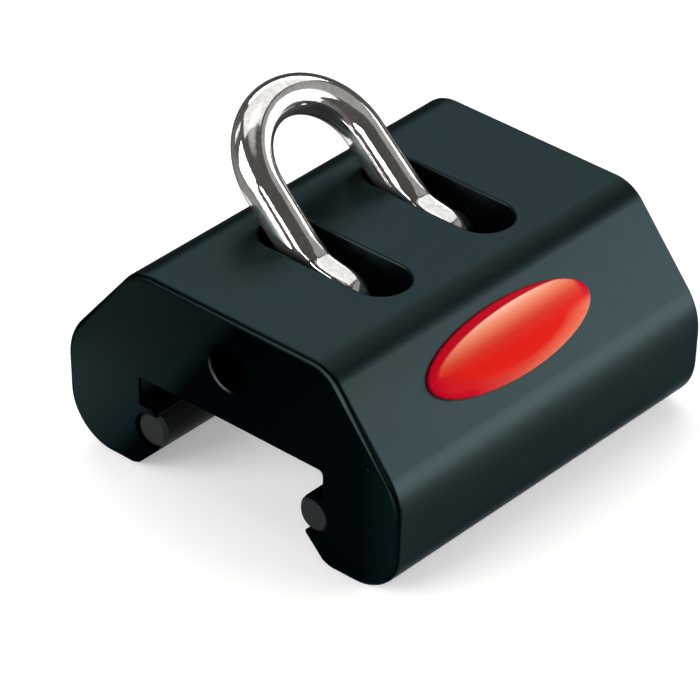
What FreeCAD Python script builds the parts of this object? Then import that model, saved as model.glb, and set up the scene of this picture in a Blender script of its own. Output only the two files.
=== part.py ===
import FreeCAD, Part
import math
import os

# Slide rod car for a sail track. All sizes are in millimetres.
# X runs across the track, Y runs along it and Z is up. The origin lies under the middle
# of the body, at the height of its two feet.

Vec = FreeCAD.Vector
ACROSS = Vec(1, 0, 0)
ALONG = Vec(0, 1, 0)
UP = Vec(0, 0, 1)

# Body: an extruded bar, cut to length. Corner places are given before rounding.
body_length = 46.0
body_width = 44.2
body_height = 23.2
top_width = 25.5
shoulder_drop = 11.4
side_lean = 0.4
top_corner_radius = 4.4
shoulder_radius = 7.0
foot_outer_radius = 5.7
foot_inner_radius = 2.5
end_edge_break = 0.35

# Channel that straddles the head of the track
channel_width = 24.4
channel_height = 11.1
channel_corner_radius = 0.6
ledge_height = 7.7
lip_thickness = 0.3
cut_overrun = 1.0

# Slide rods, one along each leg, which bear in the grooves of the track
slide_rod_diameter = 4.0
slide_rod_clearance = 0.03
slide_rod_show = 1.25
slide_rod_setback = 0.3
slide_rod_end_chamfer = 0.4
rod_gap = 17.5
rod_axis_height = 5.15

# Two slots across the top, one for each leg of the bow
slot_length = 18.0
slot_width = 6.2
slot_spacing = 15.5
slot_edge_break = 0.3

# Pin that carries the bow
pin_diameter = 5.0
pin_depth = 5.8
pin_recess = 4.0
pin_end_chamfer = 0.5
bore_edge_break = 0.3

# Bow: a bent rod with a forged eye at each end. Heights are taken up from the pin.
bow_rod_diameter = 4.25
crown_radius = 7.4
crown_height = 13.1
leg_spacing = 15.1
neck_height = 7.0
neck_foot_height = 3.6
eye_diameter = 8.6
eye_thickness = 3.1
eye_edge_chamfer = 0.3
flank_apex_height = 7.6
flank_top_height = 6.3
eye_clearance = 0.08
stop_gap = 0.1

# Oval badge on one slope: a thin foil under a clear dome
badge_length = 23.9
badge_width = 7.7
badge_shift = -1.35
badge_lift = 0.6
foil_thickness = 0.2
dome_height = 1.0
dome_rise = 0.75
dome_margin = 0.1

# Heights and offsets that follow from the sizes above
pin_radius = pin_diameter / 2
pin_height = body_height - pin_depth
slide_rod_radius = slide_rod_diameter / 2
slide_rod_offset = rod_gap / 2 + slide_rod_radius
lip_offset = rod_gap / 2 + slide_rod_show
bow_rod_radius = bow_rod_diameter / 2
slope_run = (body_width - top_width) / 2
slope_angle = math.degrees(math.atan2(shoulder_drop, slope_run))


def rounded_face(corners):
    # Flat face across the track. Each corner is x, z and the radius that rounds it.
    points = [Vec(x, 0, z) for x, z, radius in corners]
    edges = []
    starts = []
    stops = []
    crests = []
    for index, (x, z, radius) in enumerate(corners):
        corner = points[index]
        back = (points[index - 1] - corner).normalize()
        ahead = (points[(index + 1) % len(points)] - corner).normalize()
        half_angle = back.getAngle(ahead) / 2
        reach = radius / math.tan(half_angle)
        inward = (back + ahead).normalize()
        starts.append(corner + back * reach)
        stops.append(corner + ahead * reach)
        crests.append(corner + inward * (radius / math.sin(half_angle) - radius))
    for index, (x, z, radius) in enumerate(corners):
        if radius > 0:
            edges.append(Part.Arc(starts[index], crests[index], stops[index]).toShape())
        after = (index + 1) % len(corners)
        if stops[index].distanceToPoint(starts[after]) > 1e-6:
            edges.append(Part.makeLine(stops[index], starts[after]))
    return Part.Face(Part.Wire(edges))


def mirrored(right_side):
    # Adds the left half of an outline, whose right half runs from top to bottom
    left_side = [(-x, z, radius) for x, z, radius in reversed(right_side)]
    return right_side + left_side


def along_track(face, length):
    # Extrudes a face by the given length, half of it each way along the track
    bar = face.extrude(ALONG * length)
    bar.translate(ALONG * (-length / 2))
    return bar


def round_bar(radius, length, x, z, end_chamfer=0.0):
    # Round bar along the track, with its ends chamfered where a chamfer is given
    bar = Part.makeCylinder(radius, length, Vec(x, -length / 2, z), ALONG)
    if end_chamfer > 0:
        rims = [edge for edge in bar.Edges if edge.isClosed()]
        bar = bar.makeChamfer(end_chamfer, rims)
    return bar


def outer_bar():
    # The bar before the channel is cut, with its end edges broken
    bar = along_track(rounded_face(mirrored([
        (top_width / 2, body_height, top_corner_radius),
        (body_width / 2, body_height - shoulder_drop, shoulder_radius),
        (body_width / 2 - side_lean, 0, foot_outer_radius),
    ])), body_length)
    end_edges = [edge for edge in bar.Edges if edge.BoundBox.YLength < 1e-6]
    return bar.makeChamfer(end_edge_break, end_edges)


def channel_cut():
    # Room for the track, narrowed by a lip above and below the mouth of each rod groove
    groove_radius = slide_rod_radius + slide_rod_clearance
    mouth_half = math.sqrt(groove_radius ** 2 - (slide_rod_offset - lip_offset) ** 2)
    upper_tip = rod_axis_height + mouth_half + lip_thickness
    lower_tip = rod_axis_height - mouth_half - lip_thickness
    ledge_rise = ledge_height - upper_tip
    foot_corner = lip_offset + lower_tip
    foot_reach = foot_inner_radius * math.tan(math.radians(45) / 2)
    face = rounded_face(mirrored([
        (channel_width / 2, channel_height, channel_corner_radius),
        (channel_width / 2, ledge_height, 0),
        (lip_offset + ledge_rise, ledge_height, 0),
        (lip_offset, upper_tip, 0),
        (lip_offset, lower_tip, 0),
        (foot_corner, 0, foot_inner_radius),
        (foot_corner + foot_reach, 0, 0),
        (foot_corner + foot_reach, -cut_overrun, 0),
    ]))
    cut = along_track(face, body_length + 2 * cut_overrun)
    for side in (-1, 1):
        groove = round_bar(groove_radius, body_length + 2 * cut_overrun,
                           side * slide_rod_offset, rod_axis_height)
        cut = cut.fuse(groove)
    return cut


def slot_cut(y):
    # Slot with round ends, milled right through the top into the channel
    half_run = (slot_length - slot_width) / 2
    radius = slot_width / 2
    base = channel_height - cut_overrun
    left = Vec(-half_run, y, base)
    right = Vec(half_run, y, base)
    outline = Part.Wire([
        Part.makeLine(left - ALONG * radius, right - ALONG * radius),
        Part.Arc(right - ALONG * radius, right + ACROSS * radius, right + ALONG * radius).toShape(),
        Part.makeLine(right + ALONG * radius, left + ALONG * radius),
        Part.Arc(left + ALONG * radius, left - ACROSS * radius, left - ALONG * radius).toShape(),
    ])
    return Part.Face(outline).extrude(UP * (body_height - base + cut_overrun))


def is_slot_rim(edge):
    box = edge.BoundBox
    on_top = box.ZMin > body_height - 1e-6
    inside_ends = max(-box.YMin, box.YMax) < body_length / 2 - end_edge_break - 1e-3
    inside_corners = max(-box.XMin, box.XMax) < slot_length / 2 + 1e-3
    return on_top and inside_ends and inside_corners


def is_bore_rim(edge):
    box = edge.BoundBox
    at_end = max(-box.YMin, box.YMax) > body_length / 2 - 1e-3 and box.YLength < 1e-6
    around_pin = abs(box.XMax - pin_radius) < 1e-3 and abs(box.ZMax - pin_height - pin_radius) < 1e-3
    return at_end and around_pin


def car_body():
    body = outer_bar().cut(channel_cut())
    for side in (-1, 1):
        body = body.cut(slot_cut(side * slot_spacing / 2))
    body = body.cut(round_bar(pin_radius, body_length + 2 * cut_overrun, 0, pin_height))
    body = body.makeChamfer(slot_edge_break, [edge for edge in body.Edges if is_slot_rim(edge)])
    body = body.makeChamfer(bore_edge_break, [edge for edge in body.Edges if is_bore_rim(edge)])
    return body


def slide_rod(side):
    length = body_length - 2 * slide_rod_setback
    return round_bar(slide_rod_radius, length, side * slide_rod_offset, rod_axis_height,
                     slide_rod_end_chamfer)


def pivot_pin():
    return round_bar(pin_radius, body_length - 2 * pin_recess, 0, pin_height, pin_end_chamfer)


def stop_lean():
    # How far the bow leans from upright when its rod meets the rim at the end of the slot
    rim_offset = slot_length / 2 + slot_edge_break
    rim_distance = math.hypot(pin_depth, rim_offset)
    swing = math.acos((bow_rod_radius + stop_gap) / rim_distance)
    return math.degrees(swing - math.atan2(pin_depth, rim_offset))


def leg_splay():
    # Angle of each leg, which leaves the crown at a tangent and stands over the middle of
    # its eye at the top of the neck
    spread = leg_spacing / 2
    drop = crown_height - neck_height
    return math.acos(crown_radius / math.hypot(spread, drop)) - math.atan2(drop, spread)


def bow_rod():
    # Crown and both legs of the round rod, down to the tops of the necks
    splay = leg_splay()
    centre = Vec(0, 0, pin_height + crown_height)
    right_top = centre + Vec(0, crown_radius * math.cos(splay), crown_radius * math.sin(splay))
    right_foot = Vec(0, leg_spacing / 2, pin_height + neck_height)
    leg_run = right_top - right_foot
    section = Part.Face(Part.Wire([Part.makeCircle(bow_rod_radius, right_top, leg_run)]))
    crown = section.revolve(centre, ACROSS, 180 - 2 * math.degrees(splay))
    right_leg = Part.makeCylinder(bow_rod_radius, leg_run.Length, right_foot, leg_run)
    left_leg = right_leg.mirror(Vec(0, 0, 0), ALONG)
    return crown.fuse(right_leg).fuse(left_leg)


def neck(side):
    # Flattens the round rod to the eye: round above, oval inside the eye
    y = side * leg_spacing / 2
    leg = Vec(0, -side * math.sin(leg_splay()), math.cos(leg_splay()))
    round_end = Part.makeCircle(bow_rod_radius, Vec(0, y, pin_height + neck_height), leg)
    flat_half = eye_thickness / 2 - eye_clearance
    oval = Part.Ellipse(Vec(0, y, pin_height + neck_foot_height), bow_rod_radius, flat_half)
    return Part.makeLoft([Part.Wire([round_end]), Part.Wire([oval.toShape()])], True, True)


def eye(side):
    # Forged plate round the pin, whose two flanks run up into the rod, with chamfered edges
    radius = eye_diameter / 2
    flank_angle = math.asin(radius / flank_apex_height)
    y = side * leg_spacing / 2 - eye_thickness / 2
    top_x = (flank_apex_height - flank_top_height) * math.tan(flank_angle)
    touch = Vec(radius * math.cos(flank_angle), y, pin_height + radius * math.sin(flank_angle))
    right_top = Vec(top_x, y, pin_height + flank_top_height)
    left_top = Vec(-top_x, y, pin_height + flank_top_height)
    left_touch = Vec(-touch.x, y, touch.z)
    outline = Part.Wire([
        Part.makeLine(left_top, right_top),
        Part.makeLine(right_top, touch),
        Part.Arc(touch, Vec(0, y, pin_height - radius), left_touch).toShape(),
        Part.makeLine(left_touch, left_top),
    ])
    plate = Part.Face(outline).extrude(ALONG * eye_thickness)
    rims = [edge for edge in plate.Edges if edge.BoundBox.YLength < 1e-6]
    return plate.makeChamfer(eye_edge_chamfer, rims)


def bow():
    # Made upright and then leant over until it rests at the ends of its slots
    solid = bow_rod()
    for side in (-1, 1):
        solid = solid.fuse(neck(side)).fuse(eye(side))
    solid = solid.removeSplitter()
    solid = solid.cut(round_bar(pin_radius + eye_clearance, body_length, 0, pin_height))
    solid.rotate(Vec(0, 0, pin_height), ALONG, -stop_lean())
    return solid


def oval_plate(length, width, bottom, height):
    # Upright oval prism, long along the track
    oval = Part.Ellipse(Vec(0, 0, 0), length / 2, width / 2).toShape()
    oval.rotate(Vec(0, 0, 0), UP, 90)
    oval.translate(UP * bottom)
    return Part.Face(Part.Wire([oval])).extrude(UP * height)


def crown_radius_over(span):
    # Radius of an arc that rises by the dome's rise over the given span
    return ((span / 2) ** 2 + dome_rise ** 2) / (2 * dome_rise)


def badge_dome_flat():
    # Oval plate whose top is crowned both ways
    length = badge_length - 2 * dome_margin
    width = badge_width - 2 * dome_margin
    plate = oval_plate(length, width, foil_thickness, dome_height + cut_overrun)
    ring_radius = crown_radius_over(length)
    tube_radius = crown_radius_over(width)
    centre = UP * (foil_thickness + dome_height - ring_radius)
    ring = Part.makeTorus(ring_radius - tube_radius, tube_radius, centre, ACROSS)
    return plate.common(ring)


def on_slope(piece):
    # Lays a flat piece on the slope on the +X side, a little above its middle
    slope_length = math.hypot(slope_run, shoulder_drop)
    lift = badge_lift / slope_length
    piece.rotate(Vec(0, 0, 0), ALONG, slope_angle)
    middle = Vec(top_width / 2 + slope_run / 2, badge_shift, body_height - shoulder_drop / 2)
    piece.translate(middle + Vec(-slope_run, 0, shoulder_drop) * lift)
    return piece


parts = {
    "car_body": car_body(),
    "bow": bow(),
    "pivot_pin": pivot_pin(),
    "slide_rod_left": slide_rod(-1),
    "slide_rod_right": slide_rod(1),
    "badge_foil": on_slope(oval_plate(badge_length, badge_width, 0, foil_thickness)),
    "badge_dome": on_slope(badge_dome_flat()),
}

os.makedirs("parts", exist_ok=True)
for name, shape in parts.items():
    shape.exportStep("parts/" + name + ".step")
    box = shape.BoundBox
    print(name, len(shape.Solids), shape.isValid(), round(shape.Volume, 1),
          [round(v, 2) for v in (box.XMin, box.YMin, box.ZMin, box.XMax, box.YMax, box.ZMax)])
print("bow leans", round(stop_lean(), 2), "degrees; legs splay", round(math.degrees(leg_splay()), 2))
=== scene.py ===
import bmesh
import bpy
import math
from mathutils import Matrix, Vector


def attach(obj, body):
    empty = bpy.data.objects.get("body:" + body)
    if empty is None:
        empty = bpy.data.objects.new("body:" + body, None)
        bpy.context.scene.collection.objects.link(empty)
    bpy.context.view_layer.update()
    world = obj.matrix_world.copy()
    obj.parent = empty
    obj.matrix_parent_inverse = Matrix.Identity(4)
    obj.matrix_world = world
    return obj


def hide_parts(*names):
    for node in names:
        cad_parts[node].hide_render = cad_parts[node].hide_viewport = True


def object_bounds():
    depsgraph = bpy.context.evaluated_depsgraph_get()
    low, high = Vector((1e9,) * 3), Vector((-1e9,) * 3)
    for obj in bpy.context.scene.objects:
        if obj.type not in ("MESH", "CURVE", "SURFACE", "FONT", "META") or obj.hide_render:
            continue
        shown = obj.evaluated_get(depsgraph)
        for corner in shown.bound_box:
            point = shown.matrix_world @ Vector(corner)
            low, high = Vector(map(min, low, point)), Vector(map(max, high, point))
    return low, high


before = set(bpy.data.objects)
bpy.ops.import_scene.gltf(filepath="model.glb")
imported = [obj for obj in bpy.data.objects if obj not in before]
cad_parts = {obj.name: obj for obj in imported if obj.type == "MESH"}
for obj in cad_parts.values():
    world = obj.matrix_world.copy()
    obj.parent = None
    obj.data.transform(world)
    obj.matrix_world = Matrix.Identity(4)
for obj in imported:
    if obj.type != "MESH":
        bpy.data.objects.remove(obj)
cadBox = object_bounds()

# Slide rod car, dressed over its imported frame. Sizes are in millimetres unless a note says otherwise.
mm = 0.001
print("frame loaded")


# Material helpers

noiseSpan = (0.3, 0.7)  # a noise hardly leaves this part of 0 to 1


def addNode(tree, kind, values=None, **settings):
    node = tree.nodes.new(kind)
    for key, value in settings.items():
        setattr(node, key, value)
    for key, value in (values or {}).items():
        node.inputs[key].default_value = value
    return node


def mathNode(tree, operation, first, second=None, clamp=False):
    node = addNode(tree, "ShaderNodeMath", operation=operation, use_clamp=clamp)
    for index, value in enumerate((first, second)):
        if isinstance(value, (int, float)):
            node.inputs[index].default_value = value
        elif value is not None:
            tree.links.new(value, node.inputs[index])
    return node.outputs[0]


def risingFrom(tree, value, start, gain):
    # 0 up to the start, then up by the gain for each unit, to 1. A negative gain runs the other way.
    return mathNode(tree, "MULTIPLY", mathNode(tree, "SUBTRACT", value, start), gain, clamp=True)


def mixNode(tree, factor, first, second, blend="MIX"):
    # Each of the three is a socket or a plain value
    node = addNode(tree, "ShaderNodeMix", data_type="RGBA", blend_type=blend)
    for label, value in (("Factor", factor), ("A", first), ("B", second)):
        if isinstance(value, float):
            node.inputs[label].default_value = value
        elif isinstance(value, tuple):
            node.inputs[label].default_value = (*value, 1.0)
        else:
            tree.links.new(value, node.inputs[label])
    return node.outputs["Result"]


def colourRamp(tree, source, stops):
    # A stop is its place and a colour, or one level for a grey
    ramp = addNode(tree, "ShaderNodeValToRGB")
    elements = ramp.color_ramp.elements
    while len(elements) < len(stops):
        elements.new(0.5)
    for element, (place, colour) in zip(elements, stops):
        element.position = place
        element.color = (*colour, 1.0) if isinstance(colour, tuple) else (colour, colour, colour, 1.0)
    tree.links.new(source, ramp.inputs["Fac"])
    return ramp.outputs["Color"]


def splitVector(tree, source):
    parts = addNode(tree, "ShaderNodeSeparateXYZ")
    tree.links.new(source, parts.inputs[0])
    return tuple(parts.outputs)


def newGroup(name, inputs, outputs):
    group = bpy.data.node_groups.new(name, "ShaderNodeTree")
    for label, value in inputs.items():
        socket = group.interface.new_socket(label, in_out="INPUT", socket_type="NodeSocketFloat")
        socket.default_value = value
    for label in outputs:
        group.interface.new_socket(label, in_out="OUTPUT", socket_type="NodeSocketFloat")
    return group, group.nodes.new("NodeGroupInput"), group.nodes.new("NodeGroupOutput")


def grainGroup():
    # Fine grain over slow cloudiness, both on Object coordinates turned to millimetres
    group, start, end = newGroup(
        "surfaceGrain", {"Grain Size": 0.2, "Cloud Size": 6.0, "Stretch Along": 1.0}, ("Grain", "Cloud"))
    place = addNode(group, "ShaderNodeTexCoord")
    scaled = addNode(group, "ShaderNodeVectorMath", operation="MULTIPLY")
    stretch = addNode(group, "ShaderNodeCombineXYZ", {"X": 1 / mm, "Z": 1 / mm})
    group.links.new(mathNode(group, "DIVIDE", 1 / mm, start.outputs["Stretch Along"]), stretch.inputs["Y"])
    group.links.new(place.outputs["Object"], scaled.inputs[0])
    group.links.new(stretch.outputs[0], scaled.inputs[1])
    for label, size in (("Grain", "Grain Size"), ("Cloud", "Cloud Size")):
        noise = addNode(group, "ShaderNodeTexNoise", {"Detail": 3.0, "Roughness": 0.6})
        group.links.new(scaled.outputs[0], noise.inputs["Vector"])
        group.links.new(mathNode(group, "DIVIDE", 1.0, start.outputs[size]), noise.inputs["Scale"])
        group.links.new(noise.outputs["Fac"], end.inputs[label])
    return group


def scuffGroup():
    # Sparse small nicks: 1 where the surface is marked. The amount is the share of cells that have one.
    group, start, end = newGroup("scuffs", {"Spacing": 5.0, "Nick Size": 0.12, "Amount": 0.5}, ("Mask",))
    place = addNode(group, "ShaderNodeTexCoord")
    scaled = addNode(group, "ShaderNodeVectorMath", {"Scale": 1 / mm}, operation="SCALE")
    group.links.new(place.outputs["Object"], scaled.inputs[0])
    # A noise bends the cells, so that no nick is a plain round dot
    warp = addNode(group, "ShaderNodeTexNoise", {"Scale": 1.7, "Detail": 2.0})
    group.links.new(scaled.outputs[0], warp.inputs["Vector"])
    bent = addNode(group, "ShaderNodeVectorMath", {1: (0.9, 0.9, 0.9)}, operation="MULTIPLY_ADD")
    group.links.new(warp.outputs["Color"], bent.inputs[0])
    group.links.new(scaled.outputs[0], bent.inputs[2])
    cells = addNode(group, "ShaderNodeTexVoronoi", {"Randomness": 1.0})
    group.links.new(bent.outputs[0], cells.inputs["Vector"])
    group.links.new(mathNode(group, "DIVIDE", 1.0, start.outputs["Spacing"]), cells.inputs["Scale"])
    reach = mathNode(group, "DIVIDE", start.outputs["Nick Size"], start.outputs["Spacing"])
    away = mathNode(group, "DIVIDE", cells.outputs["Distance"], reach)
    inside = mathNode(group, "SUBTRACT", 1.0, away, clamp=True)
    tone = addNode(group, "ShaderNodeSeparateColor")
    group.links.new(cells.outputs["Color"], tone.inputs[0])
    chosen = mathNode(group, "LESS_THAN", tone.outputs[0], start.outputs["Amount"])
    group.links.new(mathNode(group, "MULTIPLY", inside, chosen), end.inputs["Mask"])
    return group


grain = grainGroup()
scuffs = scuffGroup()
print("shader groups built")


def placeGroup(tree, group, values):
    # Values are in the order of the group's inputs
    node = addNode(tree, "ShaderNodeGroup", node_tree=group)
    for socket, value in zip(node.inputs, values):
        socket.default_value = value
    return node


def newMaterial(name, sockets):
    material = bpy.data.materials.new(name)
    material.use_nodes = True
    tree = material.node_tree
    shader = tree.nodes["Principled BSDF"]
    for label, value in sockets.items():
        shader.inputs[label].default_value = value
    return material, tree, shader


def cloudTone(tree, noise, tones):
    return colourRamp(tree, noise, list(zip(noiseSpan, tones)))


def noiseRange(tree, noise, span):
    # Stretches a noise over a range of roughness
    node = addNode(tree, "ShaderNodeMapRange", {
        "From Min": noiseSpan[0], "From Max": noiseSpan[1], "To Min": span[0], "To Max": span[1]})
    tree.links.new(noise, node.inputs["Value"])
    return node.outputs[0]


def bump(tree, shader, height, depth):
    node = addNode(tree, "ShaderNodeBump", {"Strength": 1.0, "Distance": depth * mm})
    tree.links.new(height, node.inputs["Height"])
    tree.links.new(node.outputs[0], shader.inputs["Normal"])


def grainedFinish(name, look):
    # A finish of grain alone, from a piece's own dictionary
    material, tree, shader = newMaterial(name, look["sockets"])
    skin = placeGroup(tree, grain, look["grain"])
    tree.links.new(cloudTone(tree, skin.outputs["Cloud"], look["tones"]), shader.inputs["Base Color"])
    tree.links.new(noiseRange(tree, skin.outputs["Grain"], look["rough"]), shader.inputs["Roughness"])
    if look["bump"]:
        bump(tree, shader, skin.outputs["Grain"], look["bump"])
    return material


# Mesh helpers

def addObject(name, mesh, finish=None):
    thing = bpy.data.objects.new(name, mesh)
    bpy.context.scene.collection.objects.link(thing)
    if finish:
        thing.data.materials.append(finish)
    return thing


def toMesh(form, name):
    bmesh.ops.recalc_face_normals(form, faces=form.faces)
    mesh = bpy.data.meshes.new(name)
    form.to_mesh(mesh)
    form.free()
    return mesh


def settle(thing):
    # Applies the modifiers and keeps the object with a plain mesh
    bpy.context.view_layer.update()
    evaluated = thing.evaluated_get(bpy.context.evaluated_depsgraph_get())
    plain = bpy.data.meshes.new_from_object(evaluated)
    thing.modifiers.clear()
    thing.data = plain


def cutWith(thing, cutters):
    for cutter in cutters:
        step = thing.modifiers.new("cut", "BOOLEAN")
        step.operation = "DIFFERENCE"
        step.solver = "EXACT"
        step.object = cutter
    settle(thing)
    for cutter in cutters:
        bpy.data.objects.remove(cutter)


def smoothShade(thing, angle):
    # Finer arcs may reach a few microns past the coarser solid, so points are held to its box
    mesh = thing.data
    for vert in mesh.vertices:
        vert.co = [min(max(value, low), high) for value, low, high in zip(vert.co, cadBox[0], cadBox[1])]
    mesh.shade_smooth()
    mesh.set_sharp_from_angle(angle=math.radians(angle))
    weighted = thing.modifiers.new("weighted", "WEIGHTED_NORMAL")
    weighted.keep_sharp = True
    settle(thing)


def skinRings(form, rings):
    # Joins rings of the same number of vertices and closes the two ends
    for lower, upper in zip(rings, rings[1:]):
        for index in range(len(lower)):
            after = (index + 1) % len(lower)
            form.faces.new((lower[index], lower[after], upper[after], upper[index]))
    form.faces.new(rings[0])
    form.faces.new(rings[-1])


def roundedRim(rim, steps):
    # Depth under the face and how far the side has moved, round a quarter circle
    turns = [math.pi / 2 * step / steps for step in range(steps + 1)]
    return [(rim * (1 - math.sin(turn)), rim * (1 - math.cos(turn))) for turn in turns]


# Body: the extruded section with rounded ends, cut for the bow and the pin

body = {
    "length": 46.0, "width": 44.2, "height": 23.2,
    "topWidth": 25.5, "shoulderDrop": 11.4, "sideLean": 0.4,
    "topRadius": 4.4, "shoulderRadius": 7.0, "footOuterRadius": 5.7, "footInnerRadius": 2.5,
    "channelWidth": 24.4, "channelHeight": 11.1, "channelRadius": 0.6, "ledgeHeight": 7.7,
    "lipThickness": 0.3, "rodGap": 17.5, "rodHeight": 5.15, "rodShow": 1.25,
    "rodRadius": 2.0, "rodClearance": 0.03,
    "slotLength": 18.0, "slotWidth": 6.2, "slotSpacing": 15.5, "slotRim": 0.3, "slotSteps": 32,
    "boreRadius": 2.5, "boreFit": 0.004, "boreDepth": 5.8, "boreRim": 0.3, "boreSides": 72,
    "endRim": 0.62, "rimSteps": 5, "arcSteps": 20, "overshoot": 1.0, "sharpAngle": 38,
    # Hard anodising: grain size, cloud size and stretch, then nick spacing, size and amount
    "sockets": {"Metallic": 1.0, "Specular Tint": (0.46, 0.49, 0.50, 1.0)},
    "grain": (0.09, 5.0, 3.0), "nicks": (4.5, 0.2, 0.35), "nickTone": (0.05, 0.06, 0.062), "nickShare": 0.5,
    "tones": ((0.0128, 0.0196, 0.0208), (0.0148, 0.0226, 0.0238)),
    "rough": (0.34, 0.38), "endRough": 0.04, "boreRough": 0.5, "bump": 0.004,
    # End faces: painted reflection and shade, pale to dark along a slanting line, as shares of the width, and
    # paler again at the right side
    "endMargin": 0.01, "slantDrop": 3.0, "slant": 0.7, "sideFrom": 17.0, "sideRun": 4.0,
    "sideReflectionTone": (0.0026, 0.0072, 0.0084),
    "endReflectionTones": (
        (0.19, (0.0162, 0.0265, 0.0275)), (0.27, (0.0128, 0.0210, 0.0222)), (0.36, (0.0094, 0.0155, 0.0168)),
        (0.43, (0.0064, 0.0122, 0.0142)), (0.49, (0.0006, 0.0017, 0.0026)), (0.95, (0.0006, 0.0021, 0.0028))),
    # End rims: a painted dark reflection line and then a painted highlight line, both shifted on the slope.
    # The highlight fades to the left.
    "rimDarkReflection": ((0.0, 1.0), (0.34, 0.88), (0.50, 0.22), (0.66, (0.03, 0.05, 0.05))),
    "rimShift": 0.22, "rimShiftAt": ((0.50, 0.0), (0.57, 1.0), (0.90, 0.0)),
    "rimHighlightFrom": 0.66, "rimHighlightGain": 6.0,
    "rimHighlightTones": (
        (0.42, (0.0015, 0.0060, 0.0072)), (0.60, (0.0209, 0.0311, 0.0324)), (0.68, (0.0246, 0.0366, 0.0381)),
        (0.754, (0.0295, 0.0439, 0.0457)), (0.828, (0.0332, 0.0494, 0.0514)), (0.90, (0.0428, 0.0637, 0.0663)),
        (0.94, (0.0246, 0.0366, 0.0381)), (0.98, (0.0080, 0.0130, 0.0140))),
    "rimHighlightFade": ((0.27, 0.42), (0.455, 0.58), (0.56, 0.70), (0.66, 1.0)),
    # Bore: painted shade inside, with a painted highlight crescent low on the left of its rim
    "boreMargin": 0.02, "crescentMargin": 0.04, "crescentFrom": 0.62, "crescentGain": 3.0,
    "boreShadeToHighlight": ((0.0, (0.0012, 0.0020, 0.0024)), (1.0, (0.045, 0.050, 0.052))),
}
pinHeight = body["height"] - body["boreDepth"]


# Painted reflection and shade on the end faces: pale to dark along a slanting line, paler again at the right
# side
def paintedEndReflection(tree, x, z):
    fall = mathNode(tree, "SUBTRACT", (body["height"] - body["slantDrop"]) * mm, z)
    slant = mathNode(tree, "ADD", x, mathNode(tree, "MULTIPLY", fall, body["slant"]))
    across = mathNode(tree, "ADD", mathNode(tree, "DIVIDE", slant, body["width"] * mm), 0.5)
    side = risingFrom(tree, x, body["sideFrom"] * mm, 1 / (body["sideRun"] * mm))
    return mixNode(tree, side, colourRamp(tree, across, body["endReflectionTones"]), body["sideReflectionTone"])


# Painted reflection on the end rims: a dark line over the anodised tone, then a painted highlight line
def paintedRimReflection(tree, x, outward, z, dye):
    tall = mathNode(tree, "DIVIDE", z, body["height"] * mm)
    shift = mathNode(tree, "MULTIPLY", colourRamp(tree, tall, body["rimShiftAt"]), body["rimShift"])
    rim = risingFrom(tree, outward, (body["length"] / 2 - body["endRim"]) * mm, 1 / (body["endRim"] * mm))
    rim = mathNode(tree, "SUBTRACT", rim, shift)
    dark = mixNode(tree, 1.0, dye, colourRamp(tree, rim, body["rimDarkReflection"]), "MULTIPLY")
    across = mathNode(tree, "ADD", mathNode(tree, "DIVIDE", x, body["width"] * mm), 0.5)
    light = mixNode(tree, 1.0, colourRamp(tree, tall, body["rimHighlightTones"]),
                    colourRamp(tree, across, body["rimHighlightFade"]), "MULTIPLY")
    return mixNode(tree, risingFrom(tree, rim, body["rimHighlightFrom"], body["rimHighlightGain"]), dark, light)


# Painted shade inside the bore and a painted highlight crescent on its rim
def boreShadeAndHighlight(tree, x, low, reach, around):
    mouth = body["boreRadius"] + body["boreRim"]
    bored = mathNode(tree, "LESS_THAN", reach, (mouth + body["boreMargin"]) * mm)
    leftLow = mathNode(tree, "DIVIDE", mathNode(tree, "SUBTRACT", low, x), math.sqrt(2) * mouth * mm)
    onRim = mathNode(tree, "GREATER_THAN", reach, (body["boreRadius"] + body["crescentMargin"]) * mm)
    crescent = risingFrom(tree, leftLow, body["crescentFrom"], body["crescentGain"])
    crescent = mathNode(tree, "MULTIPLY", crescent, onRim)
    return mixNode(tree, bored, around, colourRamp(tree, crescent, body["boreShadeToHighlight"]))


def blackAnodised():
    material, tree, shader = newMaterial("blackAnodised", body["sockets"])
    skin = placeGroup(tree, grain, body["grain"])
    nicks = placeGroup(tree, scuffs, body["nicks"])
    dye = cloudTone(tree, skin.outputs["Cloud"], body["tones"])
    x, y, z = splitVector(tree, addNode(tree, "ShaderNodeTexCoord").outputs["Object"])
    outward = mathNode(tree, "ABSOLUTE", y)
    atEnd = mathNode(tree, "GREATER_THAN", outward, (body["length"] / 2 - body["endMargin"]) * mm)
    tone = mixNode(tree, atEnd, paintedRimReflection(tree, x, outward, z, dye), paintedEndReflection(tree, x, z))
    low = mathNode(tree, "SUBTRACT", pinHeight * mm, z)
    squares = [mathNode(tree, "MULTIPLY", value, value) for value in (low, x)]
    reach = mathNode(tree, "SQRT", mathNode(tree, "ADD", *squares))
    tone = boreShadeAndHighlight(tree, x, low, reach, tone)
    worn = mathNode(tree, "MULTIPLY", nicks.outputs["Mask"], body["nickShare"])
    tree.links.new(mixNode(tree, worn, tone, body["nickTone"]), shader.inputs["Base Color"])
    deep = mathNode(tree, "LESS_THAN", reach, (body["boreRadius"] + body["boreMargin"]) * mm)
    rough = noiseRange(tree, skin.outputs["Cloud"], body["rough"])
    for mask, extra in ((atEnd, body["endRough"]), (deep, body["boreRough"])):
        rough = mathNode(tree, "ADD", rough, mathNode(tree, "MULTIPLY", mask, extra))
    tree.links.new(rough, shader.inputs["Roughness"])
    bump(tree, shader, skin.outputs["Grain"], body["bump"])
    return material


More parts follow.
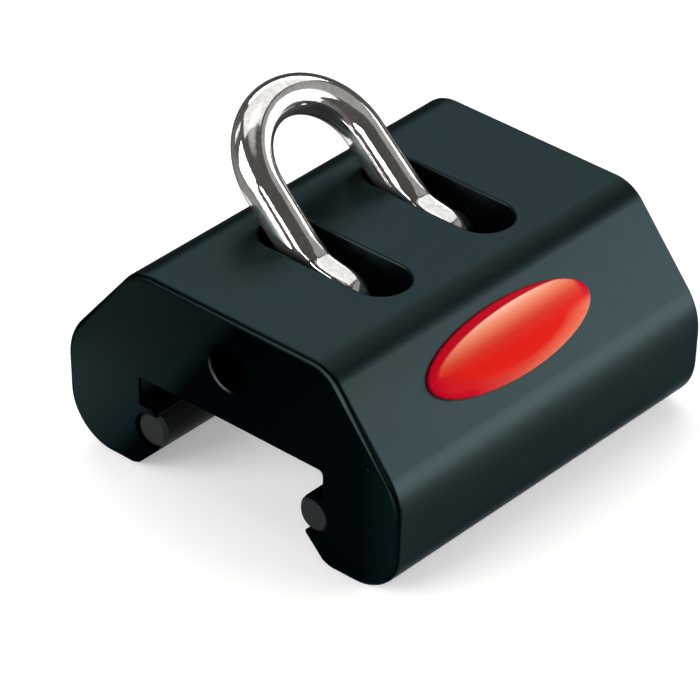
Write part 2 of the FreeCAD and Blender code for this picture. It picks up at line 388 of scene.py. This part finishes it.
def roundedOutline(corners, steps):
    # Each corner is x, z, the radius that rounds it, and how much of the end rim it gets at its start and end
    outline = []
    for index, (x, z, radius, rimStart, rimEnd) in enumerate(corners):
        corner = Vector((x, z))
        if radius == 0:
            outline.append((corner, rimStart))
            continue
        back = (Vector(corners[index - 1][:2]) - corner).normalized()
        ahead = (Vector(corners[(index + 1) % len(corners)][:2]) - corner).normalized()
        half = back.angle(ahead) / 2
        centre = corner + (back + ahead).normalized() * (radius / math.sin(half))
        first = corner + back * (radius / math.tan(half)) - centre
        turn = first.angle_signed(corner + ahead * (radius / math.tan(half)) - centre)
        for step in range(steps + 1):
            share = step / steps
            point = centre + Matrix.Rotation(-turn * share, 2) @ first
            outline.append((point, rimStart + (rimEnd - rimStart) * share))
    return outline


def bodyOutline():
    # The right half from the top down and round into the channel, then its mirror image
    lip = body["rodGap"] / 2 + body["rodShow"]
    rodOffset = body["rodGap"] / 2 + body["rodRadius"]
    groove = body["rodRadius"] + body["rodClearance"]
    mouth = math.sqrt(groove ** 2 - (rodOffset - lip) ** 2)
    upperTip = body["rodHeight"] + mouth + body["lipThickness"]
    lowerTip = body["rodHeight"] - mouth - body["lipThickness"]
    half = body["channelWidth"] / 2
    sweep = math.pi - math.asin(mouth / groove)
    grooveArc = []
    for step in range(body["arcSteps"] * 2 + 1):
        turn = -sweep + sweep * step / body["arcSteps"]
        x, z = rodOffset + groove * math.cos(turn), body["rodHeight"] + groove * math.sin(turn)
        grooveArc.append((x, z, 0, 0, 0))
    right = [
        (body["topWidth"] / 2, body["height"], body["topRadius"], 1, 1),
        (body["width"] / 2, body["height"] - body["shoulderDrop"], body["shoulderRadius"], 1, 1),
        (body["width"] / 2 - body["sideLean"], 0, body["footOuterRadius"], 1, 1),
        (lip + lowerTip, 0, body["footInnerRadius"], 1, 0),
        (lip, lowerTip, 0, 0, 0),
        *grooveArc,
        (lip, upperTip, 0, 0, 0),
        (lip + body["ledgeHeight"] - upperTip, body["ledgeHeight"], 0, 0, 0),
        (half, body["ledgeHeight"], 0, 0, 0),
        (half, body["channelHeight"], body["channelRadius"], 0, 0),
    ]
    left = [(-x, z, radius, rimEnd, rimStart) for x, z, radius, rimStart, rimEnd in reversed(right)]
    return roundedOutline(right + left, body["arcSteps"])


def bodyForm():
    outline = bodyOutline()
    points = [point for point, _ in outline]
    after = points[1:] + points[:1]
    area = sum(here.x * there.y - there.x * here.y for here, there in zip(points, after))
    inward = []
    for index, point in enumerate(points):
        along = (after[index] - point).normalized() + (point - points[index - 1]).normalized()
        normal = Vector((-along.y, along.x)).normalized()
        inward.append(normal if area > 0 else -normal)
    end = body["length"] / 2
    rim = reversed(roundedRim(body["endRim"], body["rimSteps"]))
    stations = [(-end + depth, inset) for depth, inset in rim]
    stations += [(-y, inset) for y, inset in reversed(stations)]
    form = bmesh.new()
    rings = []
    for y, inset in stations:
        ring = []
        for (point, share), normal in zip(outline, inward):
            x, z = point + normal * inset * share
            ring.append(form.verts.new((x * mm, y * mm, z * mm)))
        rings.append(ring)
    skinRings(form, rings)
    return form


def slotCutter(side):
    half = (body["slotLength"] - body["slotWidth"]) / 2
    middle = side * body["slotSpacing"] / 2
    rim = roundedRim(body["slotRim"], body["rimSteps"])
    stations = [(body["channelHeight"] - body["overshoot"], 0.0)]
    stations += [(body["height"] - depth, wider) for depth, wider in rim]
    stations += [(body["height"] + body["overshoot"], body["slotRim"])]
    form = bmesh.new()
    rings = []
    for z, wider in stations:
        radius = body["slotWidth"] / 2 + wider
        ring = []
        for end in (1, -1):
            for step in range(body["slotSteps"] + 1):
                turn = math.pi * (step / body["slotSteps"] - 0.5)
                x = end * (half + radius * math.cos(turn))
                y = middle + end * radius * math.sin(turn)
                ring.append(form.verts.new((x * mm, y * mm, z * mm)))
        rings.append(ring)
    skinRings(form, rings)
    return addObject("slotCutter", toMesh(form, "slotCutter"))


def boreCutter(radius, half, rim, sides):
    # A bar along the pin's axis that flares at both ends where it has a rim
    flared = reversed(roundedRim(rim, body["rimSteps"]))
    stations = [(-half - body["overshoot"], radius + rim)]
    stations += [(-half + depth, radius + wider) for depth, wider in flared]
    stations += [(-y, reach) for y, reach in reversed(stations)]
    turns = [2 * math.pi * step / sides for step in range(sides)]
    form = bmesh.new()
    rings = []
    for y, reach in stations:
        ring = []
        for turn in turns:
            x, z = reach * math.cos(turn), pinHeight + reach * math.sin(turn)
            ring.append(form.verts.new((x * mm, y * mm, z * mm)))
        rings.append(ring)
    skinRings(form, rings)
    return addObject("boreCutter", toMesh(form, "boreCutter"))


def makeBody():
    piece = addObject("carBody", toMesh(bodyForm(), "carBody"))
    radius = body["boreRadius"] + body["boreFit"]
    bore = boreCutter(radius, body["length"] / 2, body["boreRim"], body["boreSides"])
    cutWith(piece, [slotCutter(-1), slotCutter(1), bore])
    piece.data.materials.clear()
    piece.data.materials.append(blackAnodised())
    smoothShade(piece, body["sharpAngle"])
    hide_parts("car_body")
    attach(piece, "car")
    return piece


carBody = makeBody()
print("body built:", len(carBody.data.polygons), "faces")


# Swept bars: Geometry Nodes sweep a round section along a polyline that has a radius at each point

def sweepTree():
    tree = bpy.data.node_groups.new("sweptBar", "GeometryNodeTree")
    inputs = {
        "Geometry": "Geometry", "Corner Radius": "Float", "Corner Steps": "Int", "Sides": "Int",
        "Capped": "Bool", "Bent": "Bool", "Finish": "Material"}
    for label, kind in inputs.items():
        tree.interface.new_socket(label, in_out="INPUT", socket_type="NodeSocket" + kind)
    tree.interface.new_socket("Geometry", in_out="OUTPUT", socket_type="NodeSocketGeometry")
    start = addNode(tree, "NodeGroupInput")
    end = addNode(tree, "NodeGroupOutput")
    path = addNode(tree, "GeometryNodeMeshToCurve")
    fillet = addNode(tree, "GeometryNodeFilletCurve", {"Limit Radius": True}, mode="POLY")
    choice = addNode(tree, "GeometryNodeSwitch", input_type="GEOMETRY")
    named = addNode(tree, "GeometryNodeInputNamedAttribute", {"Name": "barRadius"}, data_type="FLOAT")
    section = addNode(tree, "GeometryNodeCurvePrimitiveCircle", {"Radius": 1.0})
    sweep = addNode(tree, "GeometryNodeCurveToMesh")
    smooth = addNode(tree, "GeometryNodeSetShadeSmooth")
    real = addNode(tree, "GeometryNodeRealizeInstances")
    painted = addNode(tree, "GeometryNodeSetMaterial")
    for source, outlet, target, inlet in (
            (start, "Geometry", path, "Mesh"), (path, "Curve", fillet, "Curve"),
            (start, "Corner Radius", fillet, "Radius"), (start, "Corner Steps", fillet, "Count"),
            (start, "Bent", choice, "Switch"),
            (path, "Curve", choice, "False"), (fillet, "Curve", choice, "True"),
            (start, "Sides", section, "Resolution"), (choice, 0, sweep, "Curve"),
            (named, "Attribute", sweep, "Scale"), (section, "Curve", sweep, "Profile Curve"),
            (start, "Capped", sweep, "Fill Caps"), (sweep, "Mesh", smooth, "Geometry"),
            (smooth, "Geometry", real, "Geometry"), (real, "Geometry", painted, "Geometry"),
            (start, "Finish", painted, "Material"), (painted, "Geometry", end, "Geometry")):
        tree.links.new(source.outputs[outlet], target.inputs[inlet])
    return tree


barTree = sweepTree()


def sweptBar(name, points, radii, settings):
    mesh = bpy.data.meshes.new(name)
    edges = [(index, index + 1) for index in range(len(points) - 1)]
    mesh.from_pydata([tuple(v * mm for v in point) for point in points], edges, [])
    layer = mesh.attributes.new("barRadius", "FLOAT", "POINT")
    layer.data.foreach_set("value", [radius * mm for radius in radii])
    piece = addObject(name, mesh)
    sweep = piece.modifiers.new("sweptBar", "NODES")
    sweep.node_group = barTree
    sockets = {item.name: item.identifier for item in barTree.interface.items_tree if item.in_out == "INPUT"}
    for label, value in settings.items():
        sweep[sockets[label]] = value
    settle(piece)
    return piece


def straightBar(name, radius, x, z, look, finish):
    # A bar along the body with chamfered ends, set back from the body's ends
    half = body["length"] / 2 - look["setback"]
    chamfer = look["chamfer"]
    points = [(x, y, z) for y in (-half, -half + chamfer, half - chamfer, half)]
    radii = [radius - chamfer, radius, radius, radius - chamfer]
    settings = {"Sides": look["sides"], "Capped": True, "Bent": False, "Finish": finish}
    piece = sweptBar(name, points, radii, settings)
    form = bmesh.new()
    form.from_mesh(piece.data)
    bmesh.ops.recalc_face_normals(form, faces=form.faces)
    form.to_mesh(piece.data)
    form.free()
    smoothShade(piece, look["sharpAngle"])
    return piece


pin = {
    "setback": 4.0, "chamfer": 0.5, "sides": 72, "sharpAngle": 30,
    "sockets": {"Metallic": 1.0}, "grain": (0.12, 2.0, 0.2), "bump": 0.003,
    "tones": ((0.42, 0.41, 0.40), (0.52, 0.51, 0.50)), "rough": (0.22, 0.34),
}


def makePin():
    finish = grainedFinish("turnedSteel", pin)
    pinPiece = straightBar("pivotPin", body["boreRadius"], 0, pinHeight, pin, finish)
    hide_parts("pivot_pin")
    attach(pinPiece, "car")


rods = {
    "setback": 0.3, "chamfer": 0.4, "sides": 48, "sharpAngle": 30,
    "sockets": {"Specular IOR Level": 0.06}, "grain": (0.25, 4.0, 6.0), "bump": 0.004,
    "tones": ((0.008, 0.010, 0.010), (0.013, 0.016, 0.016)), "rough": (0.38, 0.48),
}


def makeRods():
    finish = grainedFinish("waxyAcetal", rods)
    radius = body["rodRadius"]
    offset = body["rodGap"] / 2 + radius
    for side, word in ((-1, "left"), (1, "right")):
        rod = straightBar("slideRod." + word, radius, side * offset, body["rodHeight"], rods, finish)
        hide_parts("slide_rod_" + word)
        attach(rod, "car")


makePin()
makeRods()
print("pin and slide rods built")


# Bow: the bent rod comes from the sweep, then each leg is forged down to its eye. Heights are over the pin.

bow = {
    "rodRadius": 2.125, "crownRadius": 7.4, "crownHeight": 13.1, "legSpacing": 15.1, "lean": 46.34,
    "neckHeight": 7.0, "plateTop": 4.2, "eyeRadius": 4.3, "eyeThickness": 3.1, "edgeRadius": 0.95,
    "flankApex": 7.6, "flankBlend": 0.25, "flankCrown": 0.05, "flankEase": 0.12,
    "neckRun": 1.5, "touchRun": 0.8, "roundFrom": 2.4, "roundTo": -86,  # the last one is in degrees
    "bore": 2.58, "boreSides": 96,
    "sides": 64, "crownSteps": 48, "eyeSteps": 30, "mergeGap": 0.0001, "sharpAngle": 40,
    # Polished steel: grain size, cloud size and stretch, nick spacing, size and amount, then fine scratches
    "sockets": {"Metallic": 0.955, "Specular Tint": (0.12, 0.12, 0.12, 1.0)},
    "grain": (0.9, 3.0, 1.0), "nicks": (1.6, 0.16, 0.4), "nickTone": (0.45, 0.43, 0.41), "nickShare": 0.5,
    "tones": ((0.80, 0.785, 0.765), (0.88, 0.87, 0.85)), "rough": (0.04, 0.09),
    "scratches": (0.16, 0.6, 1.0), "mottling": ((0.36, (0.86, 0.84, 0.83)), (0.58, 1.0)),
    "bump": 0.012, "nickDepth": -0.3, "scratchDepth": 0.30,
}


def polishedSteel():
    material, tree, shader = newMaterial("polishedSteel", bow["sockets"])
    skin = placeGroup(tree, grain, bow["grain"])
    nicks = placeGroup(tree, scuffs, bow["nicks"]).outputs["Mask"]
    scratches = placeGroup(tree, grain, bow["scratches"])
    tone = cloudTone(tree, skin.outputs["Cloud"], bow["tones"])
    tone = mixNode(tree, mathNode(tree, "MULTIPLY", nicks, bow["nickShare"]), tone, bow["nickTone"])
    tone = mixNode(tree, 1.0, tone, colourRamp(tree, scratches.outputs["Cloud"], bow["mottling"]), "MULTIPLY")
    tree.links.new(tone, shader.inputs["Base Color"])
    tree.links.new(noiseRange(tree, skin.outputs["Grain"], bow["rough"]), shader.inputs["Roughness"])
    waves = skin.outputs["Grain"]
    for height, depth in ((nicks, bow["nickDepth"]), (scratches.outputs["Grain"], bow["scratchDepth"])):
        waves = mathNode(tree, "ADD", waves, mathNode(tree, "MULTIPLY", height, depth))
    bump(tree, shader, waves, bow["bump"])
    return material


def smoothStep(value):
    value = min(max(value, 0.0), 1.0)
    return value * value * (3 - 2 * value)


def eyeSection(height):
    # Half width, half thickness and edge radius of the forging
    rod, neck = bow["rodRadius"], bow["neckHeight"]
    flank = math.asin(bow["eyeRadius"] / bow["flankApex"])
    touch = bow["eyeRadius"] * math.sin(flank)
    if height > touch:
        line = (bow["flankApex"] - height) * math.tan(flank)
        blend = bow["flankBlend"] ** 2 * smoothStep((neck - height) / bow["neckRun"])
        width = (rod + line + math.sqrt((rod - line) ** 2 + blend)) / 2
        width -= (width - max(rod, line)) * smoothStep((touch + bow["touchRun"] - height) / bow["touchRun"])
    else:
        width = math.sqrt(max(bow["eyeRadius"] ** 2 - height ** 2, 0.0))
    flat = smoothStep((neck - height) / (neck - bow["plateTop"]))
    thick = rod + (bow["eyeThickness"] / 2 - rod) * flat
    edge = rod + (bow["edgeRadius"] - rod) * flat
    return width, thick, min(edge, width, thick)


def sectionPoint(angle, width, thick, edge, flat):
    # A rounded rectangle with crowned flanks, which is a circle where its edge radius equals its half sizes
    quarter = math.pi / 2
    part = math.floor(angle / quarter)
    ease = bow["flankEase"] * flat
    local = min(max((angle / quarter - part - ease) / (1 - 2 * ease), 0.0), 1.0)
    turn = (part + local) * quarter
    signX = 1 if part % 4 in (0, 3) else -1
    signY = 1 if part % 4 in (0, 1) else -1
    y = signY * (thick - edge) + edge * math.sin(turn)
    sink = bow["flankCrown"] * flat * (y / thick) ** 2
    return signX * (width - edge - sink) + edge * math.cos(turn), y


def forgeHeights():
    # Even steps down the neck, then even turns round the eye
    steps, neck, eye = bow["eyeSteps"], bow["neckHeight"], bow["eyeRadius"]
    shares = [step / steps for step in range(1, steps + 1)]
    first, last = math.asin(bow["roundFrom"] / eye), math.radians(bow["roundTo"])
    heights = [neck - (neck - bow["roundFrom"]) * share for share in shares]
    return heights + [eye * math.sin(first + (last - first) * share) for share in shares]


def forgeEyes(form):
    for side in (-1, 1):
        middle = side * bow["legSpacing"] / 2 * mm
        ring = [vert for vert in form.verts if vert.is_boundary and vert.co.y * side > 0]
        angles = {vert: math.atan2(vert.co.y - middle, vert.co.x) % (2 * math.pi) for vert in ring}
        ring.sort(key=lambda vert: angles[vert])
        turns = [angles[vert] for vert in ring]
        for height in forgeHeights():
            width, thick, edge = eyeSection(height)
            flat = 1 - edge / bow["rodRadius"]
            lower = []
            for angle in turns:
                x, y = sectionPoint(angle, width, thick, edge, flat)
                lower.append(form.verts.new((x * mm, middle + y * mm, (pinHeight + height) * mm)))
            for index in range(len(ring)):
                after = (index + 1) % len(ring)
                form.faces.new((ring[index], ring[after], lower[after], lower[index]))
            ring = lower
        form.faces.new(ring)


def makeBow():
    # The path's corners lie where the splayed legs meet a level line over the crown
    half = bow["legSpacing"] / 2
    drop = bow["crownHeight"] - bow["neckHeight"]
    splay = math.acos(bow["crownRadius"] / math.hypot(half, drop)) - math.atan2(drop, half)
    foot = pinHeight + bow["neckHeight"]
    brow = pinHeight + bow["crownHeight"] + bow["crownRadius"]
    corner = half - (brow - foot) * math.tan(splay)
    points = [(0, -half, foot), (0, -corner, brow), (0, corner, brow), (0, half, foot)]
    piece = sweptBar("bowSteel", points, [bow["rodRadius"]] * len(points), {
        "Corner Radius": bow["crownRadius"] * mm, "Corner Steps": bow["crownSteps"], "Sides": bow["sides"],
        "Capped": False, "Bent": True, "Finish": polishedSteel()})
    form = bmesh.new()
    form.from_mesh(piece.data)
    bmesh.ops.remove_doubles(form, verts=form.verts, dist=bow["mergeGap"] * mm)
    forgeEyes(form)
    bmesh.ops.recalc_face_normals(form, faces=form.faces)
    form.to_mesh(piece.data)
    form.free()
    cutWith(piece, [boreCutter(bow["bore"], bow["legSpacing"], 0.0, bow["boreSides"])])
    hinge = Matrix.Translation((0, 0, pinHeight * mm))
    piece.data.transform(hinge @ Matrix.Rotation(math.radians(-bow["lean"]), 4, "Y") @ hinge.inverted())
    smoothShade(piece, bow["sharpAngle"])
    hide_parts("bow")
    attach(piece, "bow")
    return piece


bowSteel = makeBow()
print("bow built:", len(bowSteel.data.polygons), "faces")


# Badge: a crowned resin oval on its foil

badge = {
    "length": 23.9, "width": 7.7, "foil": 0.2, "height": 1.0, "margin": 0.1, "seat": 0.01,
    "shift": -1.35, "lift": 0.6, "rings": 28, "sides": 144, "fullness": 2.4, "sharpAngle": 60,
    # Resin over red with painted light: a crimson painted dark reflection round the upper edge, a pale painted
    # highlight inside it, and an orange painted glow of focused light at the lower edge
    "sockets": {"Roughness": 0.22, "Coat Roughness": 0.04, "Specular IOR Level": 0.004, "Coat Weight": 0.012},
    "grain": (0.4, 2.5, 1.0), "bump": 0.008,
    # In shares of the half length and width: the painted highlight's middle and reach each way, then its edges
    "flare": ((0.13, 1.09), (0.05, 0.895)), "crispAbove": (-0.05, -5.0), "crispness": (2.0, 12.0),
    "tip": (0.92, -16.0),
    "crimsonRimShade": (0.44, 0.003, 0.014),
    "face": (
        (0.10, (0.78, 0.40, 0.30)), (0.20, (0.68, 0.21, 0.125)), (0.28, (0.60, 0.13, 0.072)),
        (0.36, (0.53, 0.060, 0.030)), (0.45, (0.52, 0.022, 0.013)), (0.60, (0.55, 0.006, 0.002)),
        (0.75, (0.55, 0.007, 0.002))),
    "paintedGlowTone": (0.60, 0.13, 0.075), "glowBelow": (0.05, 4.0),
    "glowAlong": (0.95, 0.62), "glowNearEdge": (0.60, 2.8),
}
# Foil: its own red darkened as painted shade, so its edge reads as the shadow line round the badge
foil = {
    "sockets": {"Specular IOR Level": 0.05}, "grain": (0.15, 3.0, 1.0), "bump": 0,
    "tones": ((0.09, 0.004, 0.008), (0.12, 0.005, 0.010)), "rough": (0.25, 0.35),
}


def redResin():
    material, tree, shader = newMaterial("redResin", badge["sockets"])
    place = addNode(tree, "ShaderNodeAttribute", attribute_name="badgePlace")
    along, across, nearness = splitVector(tree, place.outputs["Vector"])
    squares = []
    for value, (centre, reach) in zip((along, across), badge["flare"]):
        offset = mathNode(tree, "DIVIDE", mathNode(tree, "SUBTRACT", value, centre), reach)
        squares.append(mathNode(tree, "MULTIPLY", offset, offset))
    least, more = badge["crispness"]
    crisp = mathNode(tree, "MULTIPLY", risingFrom(tree, across, *badge["crispAbove"]), more)
    crisp = mathNode(tree, "ADD", crisp, least)
    inside = mathNode(tree, "SUBTRACT", 1.0, mathNode(tree, "ADD", *squares))
    inside = mathNode(tree, "MULTIPLY", inside, crisp, clamp=True)
    inside = mathNode(tree, "MULTIPLY", inside, risingFrom(tree, along, *badge["tip"]))
    upper = mathNode(tree, "ADD", mathNode(tree, "MULTIPLY", across, 0.5), 0.5)
    # Inside the flare a painted highlight fades into the badge's own red, and outside it is painted dark
    # reflection
    tone = mixNode(tree, inside, badge["crimsonRimShade"], colourRamp(tree, upper, badge["face"]))
    # Painted glow of focused light at the lower edge, stronger towards the far end
    slope, start = badge["glowAlong"]
    glow = mathNode(tree, "ADD", mathNode(tree, "MULTIPLY", along, slope), start, clamp=True)
    glow = mathNode(tree, "MULTIPLY", risingFrom(tree, across, *badge["glowBelow"]), glow)
    glow = mathNode(tree, "MULTIPLY", glow, risingFrom(tree, nearness, *badge["glowNearEdge"]))
    tree.links.new(mixNode(tree, glow, tone, badge["paintedGlowTone"]), shader.inputs["Base Color"])
    bump(tree, shader, placeGroup(tree, grain, badge["grain"]).outputs["Cloud"], badge["bump"])
    return material


def slopePlace():
    # The badge's own frame: its middle on the body's slope, z out of the slope and x down it
    run = (body["width"] - body["topWidth"]) / 2
    drop = body["shoulderDrop"]
    share = 0.5 - badge["lift"] / math.hypot(run, drop)
    middle = Vector((body["topWidth"] / 2 + run * share, badge["shift"], body["height"] - drop * share))
    return Matrix.Translation(middle * mm) @ Matrix.Rotation(math.atan2(drop, run), 4, "Y")


def makeDome():
    form = bmesh.new()
    layer = form.verts.layers.float_vector.new("badgePlace")
    halfLength = badge["length"] / 2 - badge["margin"]
    halfWidth = badge["width"] / 2 - badge["margin"]
    base = badge["foil"] + badge["seat"]
    toSlope = slopePlace()

    def place(x, y, z, nearness):
        vert = form.verts.new(toSlope @ (Vector((x, y, z)) * mm))
        vert[layer] = (y / halfLength, x / halfWidth, nearness)
        return vert

    crown = place(0, 0, base + badge["height"], 0.0)
    turns = [2 * math.pi * step / badge["sides"] for step in range(badge["sides"])]
    rings = []
    for ring in range(1, badge["rings"] + 1):
        out = math.sin(math.pi / 2 * ring / badge["rings"])
        rise = (1 - out ** badge["fullness"]) ** (1 / badge["fullness"])
        z = base + (badge["height"] - badge["seat"]) * rise
        rings.append([place(halfWidth * out * math.cos(turn), halfLength * out * math.sin(turn), z, out)
                      for turn in turns])
    for step in range(badge["sides"]):
        after = (step + 1) % badge["sides"]
        form.faces.new((crown, rings[0][step], rings[0][after]))
        for inner, outer in zip(rings, rings[1:]):
            form.faces.new((inner[step], outer[step], outer[after], inner[after]))
    form.faces.new(rings[-1])
    piece = addObject("badgeResin", toMesh(form, "badgeResin"), redResin())
    smoothShade(piece, badge["sharpAngle"])
    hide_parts("badge_dome")
    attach(piece, "car")


def finishFoil():
    # The foil stays the CAD node, so only its material changes
    finish = grainedFinish("redFoilShade", foil)
    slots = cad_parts["badge_foil"].data.materials
    if not slots:
        slots.append(finish)
    for index in range(len(slots)):
        slots[index] = finish


makeDome()
finishFoil()
print("badge built")


# Floor: a little of its own light makes it white to the camera and to reflections, and its shadow stays

floor = {
    "half": 4000.0, "drop": 0.02, "glow": 0.27, "grain": (30.0, 300.0, 1.0),
    "sockets": {"Roughness": 0.9, "Specular IOR Level": 0.1, "Emission Color": (1.0, 1.0, 1.0, 1.0)},
    "tones": ((0.91, 0.91, 0.905), (0.93, 0.93, 0.925)),
}


def paleFloor():
    material, tree, shader = newMaterial("paleFloor", floor["sockets"])
    skin = placeGroup(tree, grain, floor["grain"])
    tree.links.new(cloudTone(tree, skin.outputs["Cloud"], floor["tones"]), shader.inputs["Base Color"])
    ray = addNode(tree, "ShaderNodeLightPath")
    seen = mathNode(tree, "MAXIMUM", ray.outputs["Is Camera Ray"], ray.outputs["Is Glossy Ray"])
    seen = mathNode(tree, "MAXIMUM", seen, ray.outputs["Is Transmission Ray"])
    tree.links.new(mathNode(tree, "MULTIPLY", seen, floor["glow"]), shader.inputs["Emission Strength"])
    return material


def makeFloor():
    half, low = floor["half"] * mm, -floor["drop"] * mm
    mesh = bpy.data.meshes.new("studioFloor")
    corners = [(-half, -half, low), (half, -half, low), (half, half, low), (-half, half, low)]
    mesh.from_pydata(corners, [], [(0, 1, 2, 3)])
    addObject("studioFloor", mesh, paleFloor())


# Grey cards just over the floor: painted shade that only reflections see, so polished steel keeps dark edges

shadeCards = {
    # Angles turn from +Y towards +X, in degrees
    "sectors": {"cardLeft": (-168, -8), "cardRight": (88, 160)}, "step": 5,
    "height": 0.5, "inner": 46.0, "outer": 1200.0,
    "near": 0.24, "far": 0.11, "nearShare": 0.3, "farFrom": 160.0, "warmth": (1.0, 0.94, 0.89),
    "sockets": {"Roughness": 1.0, "Specular IOR Level": 0.0},
}


def shadeCardFinish():
    material, tree, shader = newMaterial("shadeCardFinish", shadeCards["sockets"])
    away = addNode(tree, "ShaderNodeVectorMath", operation="LENGTH")
    tree.links.new(addNode(tree, "ShaderNodeTexCoord").outputs["Object"], away.inputs[0])
    share = mathNode(tree, "DIVIDE", away.outputs["Value"], shadeCards["farFrom"] * mm)
    tones = [(at, tuple(shadeCards[key] * warm for warm in shadeCards["warmth"]))
             for at, key in ((shadeCards["nearShare"], "near"), (1.0, "far"))]
    tree.links.new(colourRamp(tree, share, tones), shader.inputs["Base Color"])
    return material


def makeCards():
    finish = shadeCardFinish()
    for name, (first, last) in shadeCards["sectors"].items():
        turns = [math.radians(angle) for angle in range(first, last + 1, shadeCards["step"])]
        points = [(math.sin(turn) * reach * mm, math.cos(turn) * reach * mm, shadeCards["height"] * mm)
                  for turn in turns for reach in (shadeCards["inner"], shadeCards["outer"])]
        faces = [(2 * k, 2 * k + 2, 2 * k + 3, 2 * k + 1) for k in range(len(turns) - 1)]
        mesh = bpy.data.meshes.new(name)
        mesh.from_pydata(points, [], faces)
        card = addObject(name, mesh, finish)
        card.visible_camera = card.visible_diffuse = card.visible_shadow = False


# Lamps: azimuth turns from +Y towards +X. Spans are in degrees as seen from the car, and reach is in metres.

lamps = {
    "overhead": {"azimuth": -47, "elevation": 66, "across": 76, "upright": 46, "reach": 1.0, "glow": 1.02},
    "backLeft": {"azimuth": -42, "elevation": 34, "across": 60, "upright": 14, "reach": 1.0, "glow": 4.6},
    "backRight": {"azimuth": 46, "elevation": 10.5, "across": 62, "upright": 25, "reach": 0.4, "glow": 5.6},
    "backRightHalo": {"azimuth": 46, "elevation": 14, "across": 68, "upright": 31, "reach": 0.45, "glow": 1.8},
    "backRightVeil": {"azimuth": 38, "elevation": 38, "across": 60, "upright": 16, "reach": 0.6, "glow": 0.3},
    "frontLeft": {"azimuth": -158, "elevation": 21, "across": 52, "upright": 40, "reach": 0.35, "glow": 5.0},
    "leftStrip": {"azimuth": -104, "elevation": 17, "across": 9, "upright": 24, "reach": 1.0, "glow": 1.2},
    "frontStrip": {"azimuth": 150, "elevation": 22, "across": 16, "upright": 24, "reach": 1.0, "glow": 6.0},
}


def makeLamps():
    aim = Vector((0, 0, body["height"] * mm))
    for name, lamp in lamps.items():
        data = bpy.data.lights.new(name, "AREA")
        data.shape = "RECTANGLE"
        data.size = 2 * lamp["reach"] * math.tan(math.radians(lamp["across"] / 2))
        data.size_y = 2 * lamp["reach"] * math.tan(math.radians(lamp["upright"] / 2))
        data.energy = lamp["glow"] * math.pi * data.size * data.size_y
        azimuth, elevation = math.radians(lamp["azimuth"]), math.radians(lamp["elevation"])
        level = Vector((math.sin(azimuth), math.cos(azimuth), 0)) * math.cos(elevation)
        away = level + Vector((0, 0, math.sin(elevation)))
        light = addObject(name, data)
        light.location = aim + away * lamp["reach"]
        light.rotation_euler = away.to_track_quat("Z", "Y").to_euler()
        light.visible_camera = False


# Tent: a dim brown room round the lamps, paler right overhead. Heights are 0 when level and 1 straight up.

tent = {
    "glow": 1.0, "wallTop": 0.50, "ceilingStart": 0.58, "zenithStart": 0.92,
    "wall": (0.052, 0.046, 0.042), "ceiling": (0.040, 0.035, 0.031), "zenith": (0.60, 0.57, 0.55),
}


def makeTent():
    world = bpy.data.worlds.new("tent")
    bpy.context.scene.world = world
    world.use_nodes = True
    tree = world.node_tree
    height = splitVector(tree, addNode(tree, "ShaderNodeTexCoord").outputs["Generated"])[2]
    colour = colourRamp(tree, height, [
        (tent["wallTop"], tent["wall"]), (tent["ceilingStart"], tent["ceiling"]),
        (tent["zenithStart"], tent["ceiling"]), (1.0, tent["zenith"])])
    glow = tree.nodes["Background"]
    tree.links.new(colour, glow.inputs["Color"])
    glow.inputs["Strength"].default_value = tent["glow"]


# Camera: azimuth turns from -Y towards +X, and pans move it in its own plane

view = {
    "azimuth": 41.386, "elevation": 33.721, "roll": 0.588, "distance": 497.66,
    "panRight": 3.689, "panUp": 12.376, "lens": 259.37, "sensor": 36.0, "nearest": 10.0,
}


def makeCamera():
    azimuth, elevation, roll = (math.radians(view[key]) for key in ("azimuth", "elevation", "roll"))
    away = Vector((math.sin(azimuth), -math.cos(azimuth), 0)) * math.cos(elevation)
    back = away + Vector((0, 0, math.sin(elevation)))
    level = Vector((math.cos(azimuth), math.sin(azimuth), 0))
    upright = back.cross(level)
    right = level * math.cos(roll) + upright * math.sin(roll)
    up = upright * math.cos(roll) - level * math.sin(roll)
    place = back * view["distance"] - right * view["panRight"] - up * view["panUp"]
    place += Vector((0, 0, body["height"]))
    data = bpy.data.cameras.new("photoView")
    data.lens = view["lens"]
    data.sensor_width = view["sensor"]
    data.clip_start = view["nearest"] * mm
    camera = addObject("photoView", data)
    camera.matrix_world = Matrix.Translation(place * mm) @ Matrix((right, up, back)).transposed().to_4x4()
    bpy.context.scene.camera = camera


makeFloor()
makeCards()
makeLamps()
makeTent()
makeCamera()
bpy.context.scene.view_settings.view_transform = "Standard"
print("floor, lamps and camera set")
